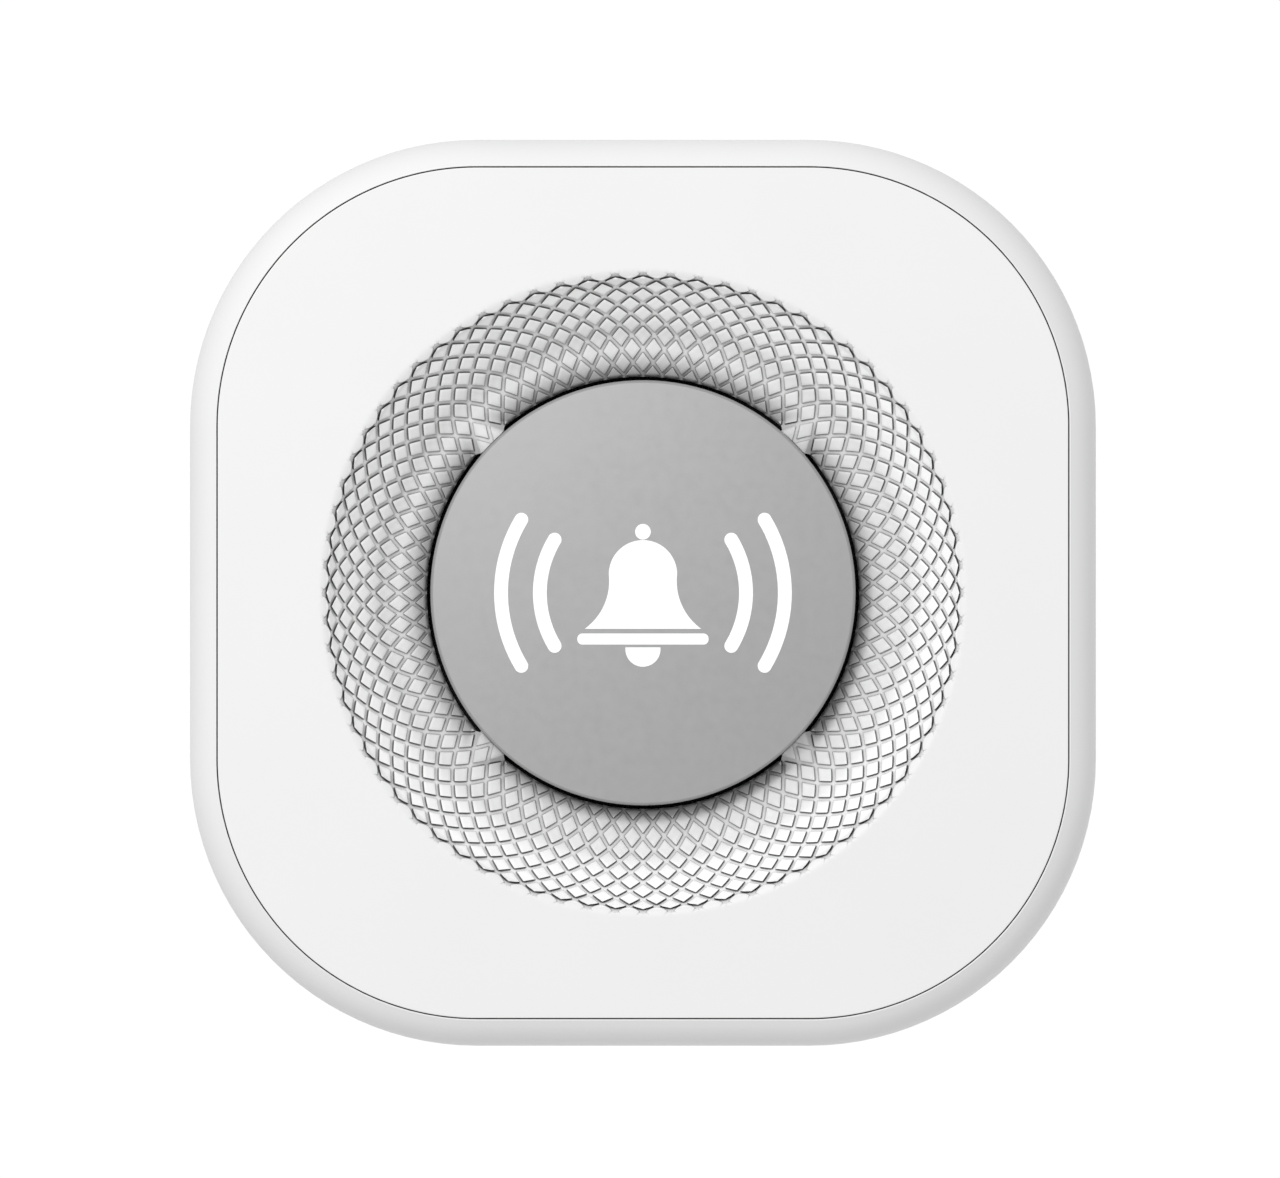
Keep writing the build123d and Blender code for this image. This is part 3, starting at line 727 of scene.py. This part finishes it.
def cell_sleeve(node, up):
    """Dark printed sleeve with a pale band by the positive end and bare steel at both ends."""
    band_start = 2.0
    band_end = 11.0
    bare = 0.6
    low, high = (corner.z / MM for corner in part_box(node))
    surface = Surface(node + "_sleeve", (0.024, 0.026, 0.031), 0.32, coat=0.5)
    surface.vary_colour(surface.noise(5.0, detail=3.0), 0.08)
    surface.bump(surface.noise(0.5, detail=2.0), 0.003)
    if up:
        top, bottom = high - CELL_NUB, low
        band = surface.between("Z", top - band_end, top - band_start)
    else:
        top, bottom = high, low + CELL_NUB
        band = surface.between("Z", bottom + band_start, bottom + band_end)
    surface.refinish(band, (0.30, 0.31, 0.33), 0.3, 0.6)
    surface.refinish(surface.beyond("Z", top - bare), BARE_STEEL, 0.3, 1.0)
    foot = surface.maths("SUBTRACT", 1.0, surface.beyond("Z", bottom + bare))
    surface.refinish(foot, BARE_STEEL, 0.3, 1.0)
    return surface.material


def capacitor_can(name):
    """Dark sleeve with a pale stripe on its outer side, and bare aluminium on top with a vent
    groove drawn as painted shade.
    """
    stripe_x = 12.0
    groove_x = 9.0
    groove_half = 0.15
    top = front_of(name)
    surface = Surface(name + "_can", (0.035, 0.045, 0.10), 0.35, coat=0.3)
    surface.vary_colour(surface.noise(2.0, detail=3.0), 0.08)
    surface.bump(surface.noise(0.3, detail=2.0), 0.003)
    side = surface.maths("ABSOLUTE", surface.axis("X"))
    stripe = surface.maths("GREATER_THAN", side, stripe_x * MM)
    surface.refinish(stripe, (0.45, 0.46, 0.48), 0.4)
    surface.refinish(surface.in_front_of(top - 0.25), (0.68, 0.68, 0.69), 0.3, 1.0)
    # The vent groove on top is a dark painted shade, not cut into the can.
    from_groove = surface.maths("ABSOLUTE", surface.maths("SUBTRACT", side, groove_x * MM))
    groove_shade = surface.maths("LESS_THAN", from_groove, groove_half * MM)
    groove_shade_on_top = surface.maths("MULTIPLY", groove_shade, surface.in_front_of(top - 0.05))
    surface.refinish(groove_shade_on_top, (0.12, 0.12, 0.12), 0.5, 1.0)
    return surface.material


def wound_drum(name):
    """Sintered drum with a winding of lacquered copper wire between its flanges."""
    flange_top = BOARD_FRONT + 0.82
    flange_bottom = BOARD_FRONT + 3.38
    surface = Surface(name, (0.035, 0.034, 0.034), 0.55)
    surface.vary_colour(surface.noise(0.6, detail=4.0), 0.25)
    wire = surface.ripple("Y", 0.32)
    surface.bump(wire, 0.06)
    winding = surface.maths("SUBTRACT", surface.in_front_of(flange_top),
                            surface.in_front_of(flange_bottom))
    surface.refinish(winding, (0.52, 0.19, 0.075), 0.28, 1.0)
    return surface.material


def shield_can(name):
    """Tinned can on a green carrier board, with a grid of small vent holes drawn as painted black
    shade.
    """
    carrier_top = BOARD_FRONT + 0.805
    surface = metal(name, TINNED, 0.34, stretch=(1, 1, 6))
    # Painted shade: the vent holes are black spots, not holes.
    vent_shade = surface.maths("MULTIPLY", surface.ripple("X", 4.0), surface.ripple("Z", 4.0))
    surface.refinish(surface.maths("GREATER_THAN", vent_shade, 0.93), (0.02, 0.02, 0.02), 0.8)
    carrier = surface.maths("SUBTRACT", 1.0, surface.in_front_of(carrier_top))
    surface.refinish(carrier, MASK_GREEN, 0.4)
    return surface.material


def silvered_ceramic(name):
    """Silver electrode with a ring of bare ceramic round it."""
    electrode_r = 11.5
    surface = Surface(name, (0.66, 0.66, 0.64), 0.5, metallic=0.7)
    surface.vary_colour(surface.noise(1.2, detail=4.0), 0.10)
    surface.bump(surface.noise(0.2, detail=3.0), 0.006)
    rim = surface.maths("GREATER_THAN", surface.distance(0.0, 0.0), electrode_r * MM)
    surface.refinish(rim, (0.62, 0.58, 0.46), 0.75)
    return surface.material


def switch_case(name):
    """Black tactile switch with a tinned cover plate on the board side."""
    surface = moulded_surface(name, (0.025, 0.025, 0.026), 0.5)
    surface.refinish(surface.in_front_of(BOARD_BACK - 0.5), (0.68, 0.68, 0.66), 0.35, 1.0)
    return surface.material


white_cover = knurled_white("white_cover", (0.63, 0.63, 0.63))
white_housing = moulded_plastic("white_housing", (0.64, 0.64, 0.64), 0.45)
grey_disc = lacquered_disc("grey_disc", (0.328, 0.328, 0.328))
white_ink = moulded_plastic("white_ink", (0.80, 0.80, 0.80), 0.5, grain_height_mm=0.001)
bracket_white = moulded_plastic("bracket_white", (0.62, 0.62, 0.61), 0.55)
tray_white = moulded_plastic("tray_white", (0.56, 0.56, 0.55), 0.5)
black_plastic = moulded_plastic("black_plastic", (0.03, 0.03, 0.032), 0.55)
button_grey = moulded_plastic("button_grey", (0.17, 0.175, 0.18), 0.5)
zinc = metal("zinc_plate", (0.66, 0.66, 0.63), 0.33, stretch=(1, 8, 1)).material
nickel = metal("nickel_plate", (0.70, 0.68, 0.64), 0.25).material
tin = metal("tinned_metal", TINNED, 0.36, stretch=(1, 1, 8)).material
brass = metal("rolled_brass", (0.72, 0.50, 0.20), 0.34, stretch=(1, 1, 14)).material
resistor_body = moulded_plastic("resistor_body", (0.028, 0.026, 0.024), 0.45, grain_mm=0.06)


def knurled_front_cover():
    skin = front_cover_skin()
    cover = make_object("knurled_front_cover", skin.verts, skin.faces, "siren")
    cover.data.materials.append(white_cover)
    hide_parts("front_cover")


# ---- what the front cover carries behind its face ----------------------------------------------
BOSS_XZ = 33.5
BOSS_HOLE_R = 1.35
BOSS_R = 3.6
BOSS_BACK = 16.4
BOSS_FRONT = FACE - 1.9
HUB_HOLE_R = 2.2
HUB_R = 7.0
ARM_START = 6.0            # from the middle, inside the hub
ARM_END = THROAT_R + 0.8   # inside the throat's wall
ARM_HALF_WIDTH = 1.8
ARM_BACK = 29.4
ARM_FRONT = 31.4


def cover_backing():
    """Four screw bosses, and the hub and arms that carry the disc."""
    solids = Solids()
    boss_distance = BOSS_XZ * math.sqrt(2)
    middle = (ARM_START + ARM_END) / 2
    arm_half = (middle - ARM_START, ARM_HALF_WIDTH, (ARM_FRONT - ARM_BACK) / 2)
    for turn in BRIDGE_DEG:
        solids.tube(boss_distance * cosd(turn), boss_distance * sind(turn),
                    BOSS_HOLE_R, BOSS_R, BOSS_BACK, BOSS_FRONT)
        centre = (middle * cosd(turn), middle * sind(turn), (ARM_BACK + ARM_FRONT) / 2)
        solids.box(centre, arm_half, turn)
    solids.tube(0, 0, HUB_HOLE_R, HUB_R, ARM_BACK, ARM_FRONT)
    backing = make_object("cover_bosses_and_arms", solids.verts, solids.faces, "siren")
    backing.data.materials.append(white_housing)


# ---- springs -----------------------------------------------------------------------------------
def tamper_coil():
    """Seven turns of wire between the plunger's collar and the switch."""
    wire_r = 0.25
    turns = 7
    low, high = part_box("tamper_spring")
    centre = (low + high) / 2 / MM
    start = Vector((centre.x, high.y / MM - wire_r, centre.z))
    outwards = Vector((0, -1, 0))
    coil_r = half_width("tamper_spring") - wire_r
    length = (high.y - low.y) / MM - 2 * wire_r
    solids = Solids()
    solids.sweep(coil_path(start, outwards, coil_r, coil_r, length, turns), wire_r)
    coil = make_object("tamper_coil", solids.verts, solids.faces, "siren", smooth_angle=60.0)
    coil.data.materials.append(nickel)
    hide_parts("tamper_spring")
    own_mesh(coil)


def battery_springs():
    """A conical wire spring on a plate at the negative end of each cell."""
    tray_inner = 28.6
    plate_half = 4.5
    plate_thick = 0.4
    wire_r = 0.3
    foot_r = 4.0 - wire_r
    tip_r = 2.0
    turns = 3.6
    solids = Solids()
    for number in (1, 2, 3, 4):
        low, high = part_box(f"battery_{number}")
        centre = (low + high) / 2 / MM
        inward = 1 if number % 2 else -1
        wall = -inward * tray_inner
        end = (low.z if inward > 0 else high.z) / MM
        height = -centre.y
        solids.box((centre.x, wall + inward * plate_thick / 2, height),
                   (plate_half, plate_thick / 2, plate_half))
        foot = Vector((centre.x, -height, wall + inward * (plate_thick + wire_r)))
        length = abs(end - wall) - plate_thick - 2 * wire_r
        path = coil_path(foot, Vector((0, 0, inward)), foot_r, tip_r, length, turns)
        solids.sweep(path, wire_r)
    springs = make_object("battery_springs", solids.verts, solids.faces, "siren", smooth_angle=60.0)
    springs.data.materials.append(nickel)
    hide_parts("contacts_negative")


# ---- small parts on the board ------------------------------------------------------------------
# Rows of chip resistors: x of the first one, z of the row, pitch and count.
RESISTOR_ROWS = (
    (28.5, -12.5, 3.0, 5),
    (28.5, -15.5, 3.0, 4),
    (28.0, 19.5, 3.0, 3),
    (-12.0, 40.5, 4.0, 7),
    (-14.0, 28.5, 4.0, 3),
    (6.0, 28.5, 4.0, 3),
    (-14.0, -29.5, 4.0, 8),
    (-36.0, -12.5, 3.0, 3),
    (-38.0, 13.5, 3.0, 3),
)
RESISTOR_HEIGHT = 0.5
RESISTOR_HALF = (0.5, 0.38, RESISTOR_HEIGHT / 2)
CAP_HALF = (0.15, 0.4, RESISTOR_HEIGHT / 2 + 0.01)


def chip_resistors():
    """Dark bodies between tinned end caps."""
    bodies, caps = Solids(), Solids()
    middle = BOARD_FRONT + RESISTOR_HEIGHT / 2
    for first_x, z, pitch, count in RESISTOR_ROWS:
        for i in range(count):
            x = first_x + i * pitch
            bodies.box((x, z, middle), RESISTOR_HALF)
            for side in (-1, 1):
                cap_x = x + side * (RESISTOR_HALF[0] + CAP_HALF[0])
                caps.box((cap_x, z, middle), CAP_HALF)
    for name, solids, material, slot in (("resistor_bodies", bodies, resistor_body, "chip_epoxy"),
                                         ("resistor_ends", caps, tin, "solder_tin")):
        piece = make_object(name, solids.verts, solids.faces, "siren")
        piece.data.materials.append(material)


knurled_front_cover()
cover_backing()
tamper_coil()
battery_springs()
chip_resistors()

# ---- finishes of the CAD nodes -------------------------------------------------------------------
PAINTS = {
    "rear_housing": white_housing,
    "centre_disc": grey_disc,
    "disc_symbol": white_ink,
    "wall_bracket": bracket_white,
    "acoustic_mesh": woven_cloth("black_cloth", (0.025, 0.025, 0.026), 0.5),
    "sounder_housing": black_plastic,
    "sounder_clamp": black_plastic,
    "piezo_plate": brass,
    "piezo_ceramic": silvered_ceramic("silvered_ceramic"),
    "sounder_terminals": tin,
    "circuit_board": solder_mask("solder_mask"),
    "board_screws": zinc,
    "housing_screws": zinc,
    "microcontroller": chip_epoxy("controller_epoxy", 34.0, 8.5, 3.5),
    "audio_driver": chip_epoxy("driver_epoxy", 0.0, 34.0, 2.5),
    "radio_module": shield_can("shield_can"),
    "antenna": tin,
    "boost_transformer": wound_drum("wound_drum"),
    "capacitors": capacitor_can("capacitors"),
    "battery_tray": tray_white,
    "battery_1": cell_sleeve("battery_1", up=True),
    "battery_2": cell_sleeve("battery_2", up=False),
    "battery_3": cell_sleeve("battery_3", up=True),
    "battery_4": cell_sleeve("battery_4", up=False),
    "contacts_positive": nickel,
    "battery_terminals": nickel,
    "tamper_switch": switch_case("tamper_switch_case"),
    "pair_switch": switch_case("pair_switch_case"),
    "tamper_plunger": button_grey,
    "pair_button": button_grey,
}
for node, material in PAINTS.items():
    paint(node, material)

# ---- camera, light and floor -----------------------------------------------------------------
FRAME_WIDTH = 138.26       # what the picture's width takes in at the face, mm
LENS = 900.0
SENSOR = 36.0
CENTRE_SHIFT = (0.32, 0.41)    # the object sits this far right of and below the middle, mm
STUDIO_LIGHT = 0.84
BACKDROP_LIGHT = 1.02
BACKDROP_START = 0.65          # the +Y part of the directions in which the backdrop begins
BACKDROP_FULL = 0.8            # and reaches its full light
KEY_PLACE = (-0.28, -0.78, 0.37)    # this and the rest in metres and watts
KEY_SIZE = 0.35
KEY_WATTS = 4.94
FLOOR_HALF = 1.0
FLOOR_LEVEL = -0.9


def make_camera():
    data = bpy.data.cameras.new("camera")
    data.lens = LENS
    data.sensor_width = SENSOR
    distance = FRAME_WIDTH * LENS / SENSOR
    data.clip_start = 0.05
    data.clip_end = 20.0
    camera = bpy.data.objects.new("camera", data)
    camera.location = (-CENTRE_SHIFT[0] * MM, -(FACE + distance) * MM, CENTRE_SHIFT[1] * MM)
    camera.rotation_euler = (math.radians(90), 0, 0)
    bpy.context.scene.collection.objects.link(camera)
    bpy.context.scene.camera = camera


def make_world():
    """A pale studio all round, brightening to white behind the object."""
    world = bpy.data.worlds.new("studio")
    bpy.context.scene.world = world
    world.use_nodes = True
    tree = world.node_tree
    background = tree.nodes["Background"]
    background.inputs["Color"].default_value = (1, 1, 1, 1)
    coord = tree.nodes.new("ShaderNodeTexCoord")
    split = tree.nodes.new("ShaderNodeSeparateXYZ")
    behind = tree.nodes.new("ShaderNodeMapRange")
    behind.inputs["From Min"].default_value = BACKDROP_START
    behind.inputs["From Max"].default_value = BACKDROP_FULL
    behind.inputs["To Min"].default_value = STUDIO_LIGHT
    behind.inputs["To Max"].default_value = BACKDROP_LIGHT
    links = tree.links
    links.new(coord.outputs["Generated"], split.inputs[0])
    links.new(split.outputs["Y"], behind.inputs["Value"])
    links.new(behind.outputs["Result"], background.inputs["Strength"])


def make_lamp(name, place_m, size_m, watts):
    data = bpy.data.lights.new(name, "AREA")
    data.size = size_m
    data.energy = watts
    lamp = bpy.data.objects.new(name, data)
    lamp.location = place_m
    aim = Vector((0, -FACE * MM, 0)) - Vector(place_m)
    lamp.rotation_euler = aim.to_track_quat("-Z", "Y").to_euler()
    bpy.context.scene.collection.objects.link(lamp)


def make_floor():
    mesh = bpy.data.meshes.new("floor")
    corners = ((-1, -1), (1, -1), (1, 1), (-1, 1))
    mesh.from_pydata([(x * FLOOR_HALF, y * FLOOR_HALF, FLOOR_LEVEL) for x, y in corners],
                     [], [(0, 1, 2, 3)])
    floor = bpy.data.objects.new("floor", mesh)
    surface = Surface("floor_paint", (0.85, 0.85, 0.85), 0.8)
    mesh.materials.append(surface.material)
    bpy.context.scene.collection.objects.link(floor)


make_camera()
make_world()
make_lamp("key", KEY_PLACE, KEY_SIZE, KEY_WATTS)
make_floor()
bpy.context.scene.view_settings.view_transform = "Standard"
